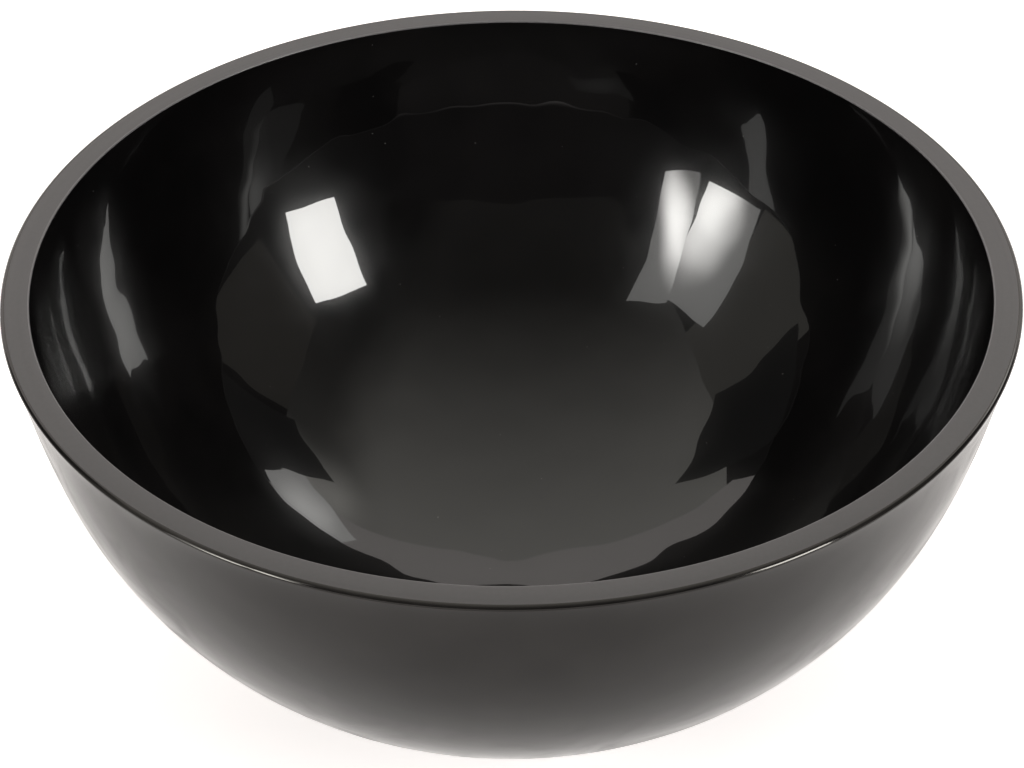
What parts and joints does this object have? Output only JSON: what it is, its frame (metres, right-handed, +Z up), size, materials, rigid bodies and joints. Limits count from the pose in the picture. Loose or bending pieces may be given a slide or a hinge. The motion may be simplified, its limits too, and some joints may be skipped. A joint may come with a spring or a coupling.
{
  "type": "bowl",
  "caption": "Deep round bowl of black polished stone with a flat honed rim, a smooth glossy hollow and a satin outside, resting on small rubber foot pads under a flat base.",
  "frame": {"origin": "middle of the footprint, on the plane of the foot pads' lower faces, where the bowl stands", "axes": "+Z up along the bowl's axis of symmetry, towards its mouth; +X and +Y are level, each midway between two foot pads"},
  "size_m": [0.3, 0.3, 0.135],
  "materials": {
    "polished_stone": "polished",
    "pad_rubber": "matte"
  },
  "bodies": {
    "root": {"bowl_body": "polished_stone", "foot_pad_front_right": "pad_rubber", "foot_pad_back_right": "pad_rubber", "foot_pad_back_left": "pad_rubber", "foot_pad_front_left": "pad_rubber"}
  },
  "joints": []
}
